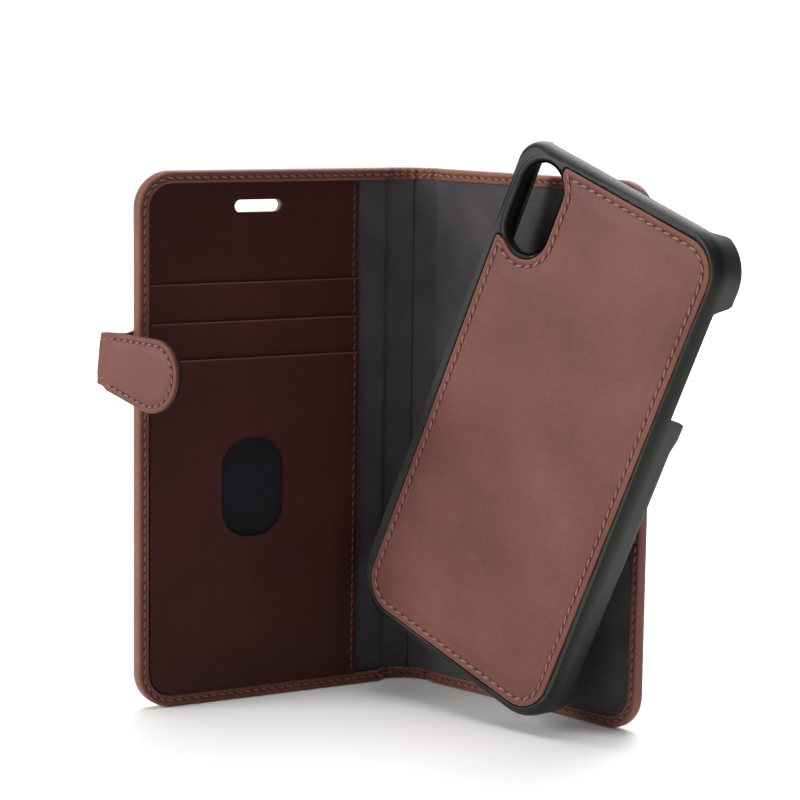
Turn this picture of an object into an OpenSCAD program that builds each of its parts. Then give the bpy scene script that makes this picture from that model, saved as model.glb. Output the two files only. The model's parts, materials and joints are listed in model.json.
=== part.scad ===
// Two-in-one leather phone wallet: a folding wallet with a clasp strap, and the phone
// shell that docks in it, shown taken out and leaning in front of the back cover.
// Origin at the foot of the spine's outer face, +Z up, the wallet opens towards -Y.

/* [Wallet] */
// Height of the wallet
cover_h = 152; // [130:1:175]
// Width of each cover, from its fold to its free edge
cover_w = 79.5; // [72:0.5:90]
// Width of the spine round its curve
spine_w = 18.6; // [16:0.2:22]
// Angle of each cover from lying flat open
half_turn = 36.9; // [32:0.1:42]
// Corner radius at the free edges
corner_r = 10.5; // [6:0.5:14]
// Clear gap between the stiff edges at each fold
fold_gap = 2; // [1.6:0.1:2.6]

/* [Leather] */
// Thickness of the outer leather
leather_t = 1.1; // [0.9:0.1:1.3]
// Thickness of the stiff boards
board_t = 1; // [0.8:0.1:1.2]
// Thickness of the linings
lining_t = 0.8; // [0.6:0.1:0.9]
// Thickness of one pocket layer
pocket_t = 0.45; // [0.35:0.05:0.5]
// Width of the turned-over hem
hem_w = 3.4; // [2.8:0.2:4.4]
// Leather left outside the boards at the edges
edge_wall = 1; // [0.8:0.1:1.4]

/* [Pockets] */
// Distance of the pocket panel from the fold
pocket_x = 10; // [8:0.1:11]
// Height of the top pocket's mouth
upper_mouth = 120.4; // [118:0.1:122]
// Height of the middle pocket's mouth
middle_mouth = 109.5; // [106:0.1:112]
// Height of the front pocket's mouth
front_mouth = 99; // [95:0.2:101]
// Width of the thumb window
window_w = 19; // [16:1:22]
// Height of the thumb window
window_h = 28.6; // [24:0.2:32]
// Height of the thumb window's centre
window_z = 61.7; // [57:0.1:66]
// Distance of the thumb window and its pocket from the fold
window_x = 44.4; // [42:0.1:46]
// Length of the earpiece slot
earpiece_l = 15; // [10:1:16]
// Width of the earpiece slot
earpiece_w = 3.6; // [3:0.1:4.5]

/* [Clasp] */
// Width of the strap where it passes round the edge
strap_w = 14; // [12:1:18]
// Thickness of the strap
strap_t = 1.3; // [1:0.1:1.5]
// Distance of the strap's first crease outside the free edge
strap_reach = 9.8; // [9:0.1:12]
// Length of the bridge between the strap's two creases
bridge_l = 5.8; // [5:0.1:9]
// Turn of the strap at its first crease, from lying straight out
root_turn = 100; // [0:1:110]
// Turn of the tab at the second crease
crease_turn = 10; // [0:1:60]
// Length of the tab from its crease to its tip
tab_l = 27; // [24:0.5:30]
// Radius of the tab's round end
tab_end_r = 10.1; // [8.5:0.1:10.5]
// Slope of the tab's lower edge, falling towards its tip
tab_slope = 14; // [8:0.5:18]
// Distance of the clasp magnet below the strap's centre line
tab_drop = 1.8; // [0:0.1:3]
// Height of the strap's centre at the free edge
strap_z = 99.8; // [88:0.1:105]
// Rise of the strap outwards, above level
strap_rise = 5; // [0:0.5:14]

/* [Phone shell] */
// Length of the shell
shell_l = 146.4; // [144:0.2:150]
// Width of the shell
shell_w = 75; // [73:0.2:78]
// Depth of the shell behind its leather
shell_d = 11; // [10:0.2:12]
// Wall of the shell
shell_wall = 1.3; // [1.1:0.1:1.6]
// Outer corner radius of the shell
shell_r = 12.5; // [10:0.5:14]
// Margin from the shell's side to its leather panel
panel_inset = 3; // [2.4:0.1:3.4]
// Roll of the leaning shell
shell_roll = 21.35; // [0:0.05:22]
// Width of the camera opening
camera_w = 14.6; // [12:0.1:15]
// Length of the camera opening
camera_l = 25.7; // [24:0.1:28]

/* [Magnets] */
// Diameter of a dock magnet
magnet_d = 12; // [8:1:14]
// Diameter of a clasp magnet
clasp_magnet_d = 10; // [8:1:12]

/* [Hidden] */
$fn = 64;
fit_gap = 0.1;
beyond = 1;
hide = "#7a5048";
dark_hide = "#3a2322";
black_cloth = "#2a2930";
board_grey = "#8c8880";
rubber_black = "#1d1e1f";
steel_grey = "#a8abae";
spine_r = spine_w / (2 * half_turn * PI / 180);
fold_x = spine_r * sin(half_turn);
fold_y = -spine_r * (1 - cos(half_turn));
gap_turn = fold_gap / 2 / spine_r * 180 / PI;
back_t = leather_t + board_t + lining_t + fit_gap * 5;
lining_depth = leather_t + board_t;
stack_depth = lining_depth + 0.6;
front_t = stack_depth + 4 * pocket_t;
hem_t = 1.1;
pocket_end = cover_w - hem_w - fit_gap;
seam_w = 2.8;
pocket_drop = 30;
earpiece_z = cover_h - 10.2;
earpiece_x = 42.2;
crease_gap = 1.1;
tab_rise = 0.6;
tuck = 0.02;
magnet_to_tip = 11;
tab_lining_t = 0.7;
magnet_recess = 0.9;
tab_inset = 0.6;
base_l = 19;
keeper_x = cover_w - 12;
camera_x = -25.2;
camera_z = 56.15;
surround_w = 1.2;
shell_x = 54.7;
shell_out = 21.6;
shell_z = 82.7;
shell_yaw = 3.45;
shell_pitch = -3.46;
panel_t = 1;
plate_t = 0.5;
shell_floor = 1.4;
shell_lining_t = 0.5;
wall_cut = 4.6;
top_cut = 58;
bottom_cut = 48;
button_low = 21.5;
button_high = 56.5;
lip = 0.7;
lip_h = 1;

// A slab in a cover's plane: from_t is its depth behind the outer face
module slab(from_t, thick) {
    rotate([90, 0, 0]) translate([0, 0, from_t]) linear_extrude(thick) children();
}

// A cover's outline: square at the fold, round at the free corners
module cover_shape(x0, inset, r) {
    x1 = cover_w - inset;
    z0 = inset;
    z1 = cover_h - inset;
    translate([x0, z0]) square([x1 - r - x0, z1 - z0]);
    translate([x1 - r - beyond, z0 + r]) square([r + beyond, z1 - z0 - 2 * r]);
    for (z = [z0 + r, z1 - r])
        translate([x1 - r, z]) circle(r);
}

// A rectangle with round corners, centred
module round_rect(w, h, r) {
    square([w - 2 * r, h], center = true);
    square([w, h - 2 * r], center = true);
    for (x = [-1, 1], z = [-1, 1])
        translate([x * (w / 2 - r), z * (h / 2 - r)]) circle(r);
}

// A slot with round ends, centred and lying along X
module slot_shape(l, w) {
    square([l - w, w], center = true);
    for (x = [-1, 1])
        translate([x * (l - w) / 2, 0]) circle(d = w);
}

module on_back() {
    translate([fold_x, fold_y, 0]) rotate([0, 0, -half_turn]) children();
}

module on_front() {
    translate([-fold_x, fold_y, 0]) rotate([0, 0, half_turn]) mirror([1, 0, 0]) children();
}

// The shell's own frame: X across, Z along it, Y from its leather face to its open side
module on_shell() {
    on_back() translate([shell_x, -shell_out, shell_z])
        rotate([0, 0, shell_yaw]) rotate([shell_pitch, 0, 0]) rotate([0, shell_roll, 0])
            children();
}

// The strap's own frame: X outwards from the free edge, -Y towards the inner side
module on_strap() {
    on_front() translate([cover_w, 0, strap_z]) rotate([0, -strap_rise, 0]) children();
}

// The same frame turned at the strap's first crease: X along the bridge, +Y outwards
module at_root() {
    on_strap() translate([strap_reach, strap_t / 2, 0]) rotate([0, 0, -root_turn]) children();
}

// Turned again at the second crease: X along the tab
module at_crease() {
    at_root() translate([bridge_l, 0, 0]) rotate([0, 0, -crease_turn]) children();
}

// A slab at a depth in the shell's own frame
module shell_slab(from_y, thick) {
    translate([0, from_y + thick, 0]) rotate([90, 0, 0]) linear_extrude(thick) children();
}

module camera_shape(extra) {
    translate([camera_x, camera_z]) rotate(90)
        slot_shape(camera_l + 2 * extra, camera_w + 2 * extra);
}

module earpiece_shape() {
    translate([earpiece_x, earpiece_z]) slot_shape(earpiece_l, earpiece_w);
}

// Cover leather: an outer skin, its edge, and the hem turned over the lining
module cover_skin(total_t, cavity_t) {
    difference() {
        slab(0, total_t) cover_shape(fold_gap / 2, 0, corner_r);
        slab(leather_t, cavity_t - leather_t)
            cover_shape(-beyond, edge_wall, corner_r - edge_wall);
        slab(leather_t, total_t)
            cover_shape(-beyond, hem_w, corner_r - hem_w);
    }
}

module back_cover_leather() {
    color(hide) on_back() cover_skin(back_t, back_t - hem_t);
}

module dock_places() {
    for (x = [-1, 1], z = [-1, 0, 1])
        translate([cover_w / 2 + x * magnet_d, cover_h / 2 + z * 3 * magnet_d]) children();
}

module back_cover_board() {
    color(board_grey) on_back() slab(leather_t, board_t)
        difference() {
            cover_shape(fold_gap / 2, edge_wall + fit_gap, corner_r - edge_wall);
            dock_places() circle(d = magnet_d + 2 * fit_gap);
            translate([keeper_x, strap_z]) circle(d = clasp_magnet_d + 2 * fit_gap);
        }
}

module dock_magnets() {
    color(steel_grey) on_back() slab(leather_t, board_t - fit_gap)
        dock_places() circle(d = magnet_d);
}

module clasp_keeper() {
    color(steel_grey) on_back() slab(leather_t, board_t - fit_gap)
        translate([keeper_x, strap_z]) circle(d = clasp_magnet_d);
}

module back_lining() {
    color(black_cloth) on_back() slab(lining_depth, lining_t)
        cover_shape(fold_gap / 2, hem_w + fit_gap, corner_r - hem_w);
}

// A sector of the spine's curve between two radii
module spine_sector(r_in, r_out, z0, z1) {
    translate([0, -spine_r, z0]) rotate([0, 0, 90 - half_turn + gap_turn])
        rotate_extrude(angle = 2 * (half_turn - gap_turn))
            translate([r_in, 0]) square([r_out - r_in, z1 - z0]);
}

module spine_leather() {
    color(hide) {
        spine_sector(spine_r - leather_t, spine_r, 0, cover_h);
        for (z0 = [0, cover_h - hem_w])
            spine_sector(spine_r - 2 * leather_t, spine_r - leather_t, z0, z0 + hem_w);
    }
}

module spine_lining() {
    color(black_cloth)
        spine_sector(spine_r - leather_t - lining_t, spine_r - leather_t,
            hem_w + fit_gap, cover_h - hem_w - fit_gap);
}

module front_cover_leather() {
    color(hide) on_front() difference() {
        cover_skin(front_t, front_t - hem_t);
        slab(-beyond, front_t) earpiece_shape();
    }
}

module front_cover_board() {
    color(board_grey) on_front() slab(leather_t, board_t)
        difference() {
            cover_shape(fold_gap / 2, edge_wall + fit_gap, corner_r - edge_wall);
            earpiece_shape();
        }
}

module front_lining() {
    color(black_cloth) on_front() slab(lining_depth, stack_depth - lining_depth)
        difference() {
            cover_shape(fold_gap / 2, edge_wall + fit_gap, corner_r - edge_wall);
            earpiece_shape();
        }
}

// A pocket layer's outline between two heights, inside the hem
module pocket_shape(x0, z0, z1) {
    intersection() {
        cover_shape(x0, hem_w + fit_gap, corner_r - hem_w);
        translate([x0, z0]) square([cover_w, z1 - z0]);
    }
}

module pocket_backing() {
    color(dark_hide) on_front() slab(stack_depth, pocket_t)
        difference() {
            pocket_shape(pocket_x, 0, cover_h);
            earpiece_shape();
        }
}

module card_pocket_upper() {
    color(dark_hide) on_front() slab(stack_depth + pocket_t, pocket_t)
        pocket_shape(pocket_x, upper_mouth - pocket_drop, upper_mouth);
}

module card_pocket_middle() {
    color(dark_hide) on_front() slab(stack_depth + 2 * pocket_t, pocket_t)
        pocket_shape(pocket_x, middle_mouth - pocket_drop, middle_mouth);
}

// The front pocket: its panel with the thumb window, and the seam allowance round it
module card_pocket_front() {
    color(dark_hide) on_front() {
        slab(stack_depth + 3 * pocket_t, pocket_t) difference() {
            pocket_shape(pocket_x, 0, front_mouth);
            translate([window_x, window_z]) round_rect(window_w, window_h, window_w / 2 - 1);
        }
        slab(stack_depth + pocket_t, 2 * pocket_t) difference() {
            pocket_shape(pocket_x, 0, middle_mouth - pocket_drop - fit_gap);
            translate([pocket_x + seam_w, hem_w + seam_w])
                square([pocket_end - pocket_x - 2 * seam_w, cover_h]);
        }
    }
}

module pocket_lining() {
    z0 = hem_w + seam_w + fit_gap;
    color(black_cloth) on_front() slab(stack_depth + pocket_t, pocket_t)
        translate([pocket_x + seam_w + fit_gap, z0])
            square([pocket_end - pocket_x - 2 * (seam_w + fit_gap),
                middle_mouth - pocket_drop - fit_gap - z0]);
}

// A tongue along X with a round end at x1
module tongue_shape(x0, x1, w) {
    r = w / 2 - 1;
    translate([x0, -w / 2]) square([x1 - x0 - r, w]);
    translate([x1 - r - beyond, -w / 2 + r]) square([r + beyond, w - 2 * r]);
    for (z = [-1, 1])
        translate([x1 - r, z * (w / 2 - r)]) circle(r);
}

// The strap's rear layer, sewn to the front cover's outer face
module clasp_base() {
    color(hide) on_strap() slab(-strap_t, strap_t) {
        mirror([1, 0]) tongue_shape(0, base_l, strap_w + 4);
        translate([-beyond, -strap_w / 2])
            square([strap_reach + beyond - crease_gap, strap_w]);
    }
}

module clasp_bridge() {
    color(hide) at_root() slab(-strap_t / 2, strap_t)
        translate([crease_gap, -strap_w / 2]) square([bridge_l - 2 * crease_gap, strap_w]);
}

// The tab: a level upper edge, a sloping lower edge, and a round end
module tab_shape(inset) {
    r = tab_end_r - inset;
    centre = [tab_l - tab_end_r, strap_w / 2 + tab_rise - tab_end_r];
    fold = crease_gap + inset;
    touch = centre - (r - tuck) * [sin(tab_slope), cos(tab_slope)];
    polygon([
        [fold, touch[1] + (touch[0] - fold) * tan(tab_slope)],
        touch,
        [centre[0], centre[1] + r - tuck],
        [fold, centre[1] + r - tuck]
    ]);
    translate(centre) circle(r);
}

module tab_magnet_shape(extra) {
    translate([tab_l - magnet_to_tip, -tab_drop]) circle(d = clasp_magnet_d + 2 * extra);
}

module clasp_tab() {
    color(hide) at_crease() difference() {
        slab(-strap_t / 2, strap_t) tab_shape(0);
        slab(strap_t / 2 - magnet_recess, magnet_recess + beyond) tab_magnet_shape(fit_gap);
    }
}

module clasp_tab_lining() {
    color(black_cloth) at_crease() slab(strap_t / 2, tab_lining_t) tab_shape(tab_inset);
}

module clasp_magnet() {
    color(steel_grey) at_crease() slab(strap_t / 2 - magnet_recess + fit_gap, magnet_recess - fit_gap)
        tab_magnet_shape(0);
}

module shell_outline(inset) {
    round_rect(shell_w - 2 * inset, shell_l - 2 * inset, shell_r - inset);
}

// The moulded shell: a floor behind the leather, walls, a holding lip at the open side,
// a raised rim round the camera, and walls cut low at the top, the bottom and the buttons
module shell_body() {
    floor_y = panel_t + shell_floor;
    color(rubber_black) on_shell() difference() {
        shell_slab(0.3, shell_d - 0.3) shell_outline(0);
        shell_slab(floor_y, shell_d - lip_h - floor_y) shell_outline(shell_wall);
        shell_slab(floor_y, shell_d) shell_outline(shell_wall + lip);
        shell_slab(-beyond, beyond + panel_t) difference() {
            shell_outline(panel_inset - fit_gap);
            camera_shape(surround_w - fit_gap);
        }
        shell_slab(panel_t - fit_gap, plate_t + fit_gap) plate_shape(fit_gap);
        shell_slab(-beyond, shell_d) camera_shape(0);
        translate([-top_cut / 2, wall_cut, shell_l / 2 - 2 * shell_wall - lip])
            cube([top_cut, shell_d, 4 * shell_wall]);
        translate([-bottom_cut / 2, wall_cut, -shell_l / 2 - 2 * shell_wall + lip])
            cube([bottom_cut, shell_d, 4 * shell_wall]);
        translate([shell_w / 2 - 2 * shell_wall - lip, wall_cut, button_low])
            cube([4 * shell_wall, shell_d, button_high - button_low]);
    }
}

module plate_shape(extra) {
    translate([0, -panel_inset * 4]) round_rect(48 + 2 * extra, 84 + 2 * extra, 6);
}

module shell_plate() {
    color(steel_grey) on_shell() shell_slab(panel_t, plate_t - fit_gap) plate_shape(0);
}

module shell_leather() {
    color(hide) on_shell() shell_slab(0, panel_t) difference() {
        shell_outline(panel_inset);
        camera_shape(surround_w);
    }
}

module shell_lining() {
    color(black_cloth) on_shell() shell_slab(panel_t + shell_floor, shell_lining_t)
        difference() {
            shell_outline(shell_wall + lip + fit_gap);
            camera_shape(1);
        }
}

back_cover_leather();
back_cover_board();
back_lining();
dock_magnets();
clasp_keeper();
spine_leather();
spine_lining();
front_cover_leather();
front_cover_board();
front_lining();
pocket_backing();
card_pocket_upper();
card_pocket_middle();
card_pocket_front();
pocket_lining();
clasp_base();
clasp_bridge();
clasp_tab();
clasp_tab_lining();
clasp_magnet();
shell_body();
shell_plate();
shell_leather();
shell_lining();
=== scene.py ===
import json
import math
import bpy
import bmesh
import numpy as np
from mathutils import Matrix, Vector


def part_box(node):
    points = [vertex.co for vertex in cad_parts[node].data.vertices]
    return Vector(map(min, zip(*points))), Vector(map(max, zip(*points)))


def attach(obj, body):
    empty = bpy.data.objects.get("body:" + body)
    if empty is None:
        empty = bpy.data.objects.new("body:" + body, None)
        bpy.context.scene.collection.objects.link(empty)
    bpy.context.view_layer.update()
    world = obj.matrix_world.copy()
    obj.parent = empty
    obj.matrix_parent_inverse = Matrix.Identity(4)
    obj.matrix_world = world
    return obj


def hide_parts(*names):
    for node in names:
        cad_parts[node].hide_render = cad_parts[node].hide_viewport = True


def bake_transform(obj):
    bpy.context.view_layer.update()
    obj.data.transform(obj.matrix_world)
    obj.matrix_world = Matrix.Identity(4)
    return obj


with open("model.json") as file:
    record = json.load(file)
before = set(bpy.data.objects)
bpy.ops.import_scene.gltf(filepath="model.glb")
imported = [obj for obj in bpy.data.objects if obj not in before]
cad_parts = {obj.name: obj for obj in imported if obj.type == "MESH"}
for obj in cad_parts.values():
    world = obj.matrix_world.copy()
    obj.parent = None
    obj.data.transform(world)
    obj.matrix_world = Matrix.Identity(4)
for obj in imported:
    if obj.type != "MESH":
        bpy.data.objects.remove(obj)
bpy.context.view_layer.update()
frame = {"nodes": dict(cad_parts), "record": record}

mm = 0.001
record = frame["record"]
mounts = {m["name"]: m for m in record["mounts"]}

# ---- places: every shape is worked out in millimetres on a flat plan, then placed ----

wallet = dict(
    height=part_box("spine_leather")[1].z / mm,  # mm, as all sizes below
    cover=79.5, spine=18.6, turn=36.9,  # turn: degrees of each cover from lying open
    corner=10.5, hem=3.4, skin=1.1,
    frontDepth=4.5, backDepth=3.4, spineDepth=2.3,  # how deep each inner side lies
    ease=(-1.2, 2.4),  # the depth changes between these distances from the fold
)
lean = dict(yaw=3.45, pitch=-3.46, roll=21.35)  # how the shell leans, in its cover's frame
strap = dict(width=14.0, thick=1.3, reach=9.8, bridge=5.8, height=99.8, rise=5.0, rootTurn=100,
             creaseTurn=10, tabLength=27.0, base=19.0, bend=1.6, creaseBend=3.0, tabTop=7.6,
             tabFoot=-12.6, upperRound=10.1, lowerRound=9.9, slope=14)


def rollStrip(side, along, depth, height):
    # one cover and half the spine as a strip: flat past the fold (along > 0), and before it
    # rolled round the spine's circle; depth is measured inwards from the outer face
    turn = math.radians(wallet["turn"])
    radius = wallet["spine"] / (2 * turn)
    angle = turn + np.minimum(along, 0) / radius
    flat = np.maximum(along, 0)
    x = (radius - depth) * np.sin(angle) + flat * math.cos(turn)
    y = (radius - depth) * np.cos(angle) - radius - flat * math.sin(turn)
    return np.stack([side * x, y, height], -1) * mm


def placeBack(plan, depth):
    return rollStrip(1, plan[..., 0], depth, plan[..., 1])


def placeFront(plan, depth):
    return rollStrip(-1, plan[..., 0], depth, plan[..., 1])


def placeShell(plan, depth):
    # the shell's own frame: across, along and behind its leather face
    turn = Matrix.Rotation(math.radians(lean["yaw"] - wallet["turn"]), 3, "Z")
    turn = turn @ Matrix.Rotation(math.radians(lean["pitch"]), 3, "X")
    turn = turn @ Matrix.Rotation(math.radians(lean["roll"]), 3, "Y")
    own = np.stack([plan[..., 0], depth + 0 * plan[..., 0], plan[..., 1]], -1) * mm
    return own @ np.array(turn).T + np.array(mounts["shell_back"]["pos_m"])


strapRoot, strapCrease = math.radians(strap["rootTurn"]), math.radians(strap["creaseTurn"])
rootStart = strap["base"] + strap["reach"] - strap["bend"] * math.tan(strapRoot / 2)
rootEnd = rootStart + strap["bend"] * strapRoot
straightPart = (strap["bridge"] - strap["bend"] * math.tan(strapRoot / 2)
                - strap["creaseBend"] * math.tan(strapCrease / 2))
creaseStart = rootEnd + straightPart
creaseEnd = creaseStart + strap["creaseBend"] * strapCrease


def placeStrap(plan, depth):
    # the strap's path: out along the back of the cover, round its root, and on past a soft
    # crease; plan is the distance along the strap and across it, depth is outwards
    along = plan[..., 0]
    a1 = np.clip(along - rootStart, 0, rootEnd - rootStart) / strap["bend"]
    a2 = np.clip(along - creaseStart, 0, creaseEnd - creaseStart) / strap["creaseBend"]
    mid, last = np.clip(along - rootEnd, 0, straightPart), np.maximum(along - creaseEnd, 0)
    total = strapRoot + strapCrease
    out = (-strap["base"] + np.minimum(along, rootStart) + strap["bend"] * np.sin(a1)
           + mid * math.cos(strapRoot) + last * math.cos(total)
           + strap["creaseBend"] * (np.sin(strapRoot + a2) - math.sin(strapRoot)))
    inward = (-strap["thick"] / 2 + strap["bend"] * (1 - np.cos(a1)) + mid * math.sin(strapRoot)
              + last * math.sin(total)
              + strap["creaseBend"] * (math.cos(strapRoot) - np.cos(strapRoot + a2)))
    out = out + depth * np.sin(a1 + a2)
    inward = inward - depth * np.cos(a1 + a2)
    rise = math.radians(strap["rise"])
    across = plan[..., 1]
    cover = wallet["cover"] + out * math.cos(rise) - across * math.sin(rise)
    height = strap["height"] + out * math.sin(rise) + across * math.cos(rise)
    return rollStrip(-1, cover, inward, height)


# ---- shapes: closed loops on the plan, and skins of such loops ----


def resample(points, step):
    # points a fixed distance apart along a closed loop
    loop = np.vstack([points, points[:1]])
    gap = np.linalg.norm(np.diff(loop, axis=0), axis=1)
    run = np.concatenate([[0], np.cumsum(gap)])
    count = max(12, int(round(run[-1] / step)))
    at = np.linspace(0, run[-1], count, endpoint=False)
    return np.stack([np.interp(at, run, loop[:, k]) for k in (0, 1)], 1)


def roundCorner(centre, radius, start, end, count=14):
    angle = np.radians(np.linspace(start, end, count))
    return np.stack([centre[0] + radius * np.cos(angle), centre[1] + radius * np.sin(angle)], 1)


def roundedLoop(x0, x1, z0, z1, radii, step):
    # a rectangle with its own radius at each corner: low x low z, then round anticlockwise
    spots = [(x0, z0, 1, 1, 180), (x1, z0, -1, 1, 270), (x1, z1, -1, -1, 0), (x0, z1, 1, -1, 90)]
    radii = [max(r, 0.01) for r in radii]
    parts = [roundCorner((x + sx * r, z + sz * r), r, a, a + 90)
             for (x, z, sx, sz, a), r in zip(spots, radii)]
    return resample(np.vstack(parts), step)


def pillLoop(centre, width, length, step):
    half = np.array([width, length]) / 2
    r = min(half)
    return roundedLoop(centre[0] - half[0], centre[0] + half[0], centre[1] - half[1],
                       centre[1] + half[1], (r,) * 4, step)


def shrink(loop, distance, seam=None):
    # every point moves along the loop's inward normal; points on a seam stay on its line
    way = np.roll(loop, -1, 0) - np.roll(loop, 1, 0)
    way /= np.linalg.norm(way, axis=1)[:, None]
    moved = loop + distance * np.stack([-way[:, 1], way[:, 0]], 1)
    if seam is not None:
        on = np.abs(loop[:, 0] - seam) < 1e-6
        moved[on, 0] = seam
        low, high = loop[on, 1].min(), loop[on, 1].max()
        moved[on, 1] = np.clip(loop[on, 1], low + distance, high - distance)
    return moved


def rayLoop(shape, centre, targets):
    # where rays from the centre towards each target cross a closed shape
    ray = targets - centre
    ray /= np.linalg.norm(ray, axis=1)[:, None]
    a = shape - centre
    edge = np.roll(shape, -1, 0) - shape
    cross = ray[:, None, 0] * edge[None, :, 1] - ray[:, None, 1] * edge[None, :, 0]
    cross = np.where(np.abs(cross) < 1e-12, 1e-12, cross)
    reach = (a[None, :, 0] * edge[None, :, 1] - a[None, :, 1] * edge[None, :, 0]) / cross
    share = (a[None, :, 0] * ray[:, None, 1] - a[None, :, 1] * ray[:, None, 0]) / cross
    good = (reach > 0) & (share >= -1e-6) & (share <= 1 + 1e-6)
    reach = np.where(good, reach, np.inf).min(1)
    return centre + ray * reach[:, None]


def distanceTo(points, loop):
    # shortest distance from each point to a closed loop, worked out 4000 points at a time
    start, edge = loop, np.roll(loop, -1, 0) - loop
    length = (edge ** 2).sum(1)
    far = np.full(len(points), np.inf)
    for first in range(0, len(points), 4000):
        p = points[first:first + 4000, None, :] - start[None]
        t = np.clip((p * edge[None]).sum(2) / length, 0, 1)
        gap = p - t[..., None] * edge[None]
        far[first:first + 4000] = np.sqrt((gap ** 2).sum(2).min(1))
    return far


def smoothStep(value, low, high):
    t = np.clip((value - low) / (high - low), 0, 1)
    return t * t * (3 - 2 * t)


def finishMesh(name, verts, faces, material, scuffAndHighlight=None, sharp=40):
    mesh = bpy.data.meshes.new(name)
    mesh.from_pydata(verts.tolist(), [], faces)
    piece = bpy.data.objects.new(name, mesh)
    bpy.context.scene.collection.objects.link(piece)
    if scuffAndHighlight is not None:
        layer = mesh.attributes.new("scuffAndHighlight", "FLOAT", "POINT")
        layer.data.foreach_set("value", scuffAndHighlight.astype(np.float32))
    work = bmesh.new()
    work.from_mesh(mesh)
    bmesh.ops.remove_doubles(work, verts=work.verts, dist=1e-7)
    bmesh.ops.recalc_face_normals(work, faces=work.faces)
    work.to_mesh(mesh)
    work.free()
    mesh.shade_smooth()
    mesh.set_sharp_from_angle(angle=math.radians(sharp))
    mesh.materials.append(material)
    return piece


def skin(name, rows, place, material, closed=False, sharp=40):
    # rows of loops with a depth and a share each of paler edge colour, for scuffed edges and a painted
    # highlight;
    # neighbours are joined by quads, and the first and last rows meet in a pole, or each other where
    # the piece has a hole
    count = len(rows[0][0])
    verts = np.concatenate([place(plan, depth + np.zeros(count)) for plan, depth, _ in rows])
    scuffAndHighlight = np.concatenate([scuffedAndHighlit + np.zeros(count) for _, _, scuffedAndHighlit in rows])
    around = np.arange(count)
    nextOne = (around + 1) % count
    faces = []
    last = len(rows) if closed else len(rows) - 1
    for k in range(last):
        a, b = k * count, (k + 1) % len(rows) * count
        quads = np.stack([a + around, a + nextOne, b + nextOne, b + around], 1)
        faces += quads.tolist()
    if not closed:
        for first in (0, (len(rows) - 1) * count):
            verts = np.vstack([verts, verts[first:first + count].mean(0)])
            scuffAndHighlight = np.append(scuffAndHighlight, 0)
            pole = np.full(count, len(verts) - 1)
            faces += np.stack([first + around, first + nextOne, pole], 1).tolist()
    return finishMesh(name, verts, faces, material, scuffAndHighlight, sharp)


def between(inner, outer, shares, depth):
    # rows that run straight from an inner loop to an outer one; depth may be a function
    rows = []
    for share in shares:
        plan = inner + (outer - inner) * share
        rows.append((plan, depth(plan) if callable(depth) else depth, 0))
    return rows


def slabRows(loop, middle, near, far, edge, seam=None, hole=None, shares=None, scuffAndHighlightAt=None):
    # a sheet with rounded edges: the near face from its middle out, round the rim, and the
    # far face back in; near and far may be functions of the plan. The seam keeps its line
    nearAt = near if callable(near) else (lambda plan: near + 0 * plan[:, 0])
    farAt = far if callable(far) else (lambda plan: far + 0 * plan[:, 0])
    shares = np.linspace(0.04, 0.98, 16) if shares is None else shares
    rim = [(edge * (1 - math.sin(a)), edge * (1 - math.cos(a)))
           for a in np.radians((0, 25, 50, 75, 90))]
    if hole is None:
        inner = middle + (loop - middle) * 0.01
        holeNear, holeFar = [], []
    else:
        inner = shrink(hole, -edge)
        holeNear = [(shrink(hole, -inset), sink) for inset, sink in rim[::-1]]
        holeFar = holeNear[::-1]
    face = shrink(loop, edge * 1.8 + 0.15, seam)
    scuffedAndHighlit = 0 if scuffAndHighlightAt is None else scuffAndHighlightAt(loop)
    rows = [(plan, nearAt(plan) + sink, 0) for plan, sink in holeNear]
    rows += between(inner, face, shares, nearAt)
    rows.append((shrink(loop, edge * 1.8, seam), nearAt(loop), 0))
    rows += [(shrink(loop, i, seam), nearAt(loop) + s, scuffedAndHighlit) for i, s in rim]
    rows += [(shrink(loop, i, seam), farAt(loop) - s, scuffedAndHighlit) for i, s in rim[::-1]]
    rows += between(inner, face, shares[::-1], farAt)
    rows += [(plan, farAt(plan) - sink, 0) for plan, sink in holeFar]
    return rows


def alongPath(points, pitch, closed, shift=0.0):
    # places a fixed distance apart on a path, with the direction of travel at each
    line = np.vstack([points, points[:1]]) if closed else points
    gap = np.linalg.norm(np.diff(line, axis=0), axis=1)
    run = np.concatenate([[0], np.cumsum(gap)])
    count = int(round(run[-1] / pitch))
    at = (np.arange(count if closed or not shift else count - 1) + 0.5 + shift) * run[-1] / count
    spot = np.stack([np.interp(at, run, line[:, k]) for k in (0, 1)], 1)
    ahead = np.stack([np.interp(at + 0.3, run, line[:, k]) for k in (0, 1)], 1)
    behind = np.stack([np.interp(at - 0.3, run, line[:, k]) for k in (0, 1)], 1)
    way = ahead - behind
    return spot, way / np.linalg.norm(way, axis=1)[:, None]


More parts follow.
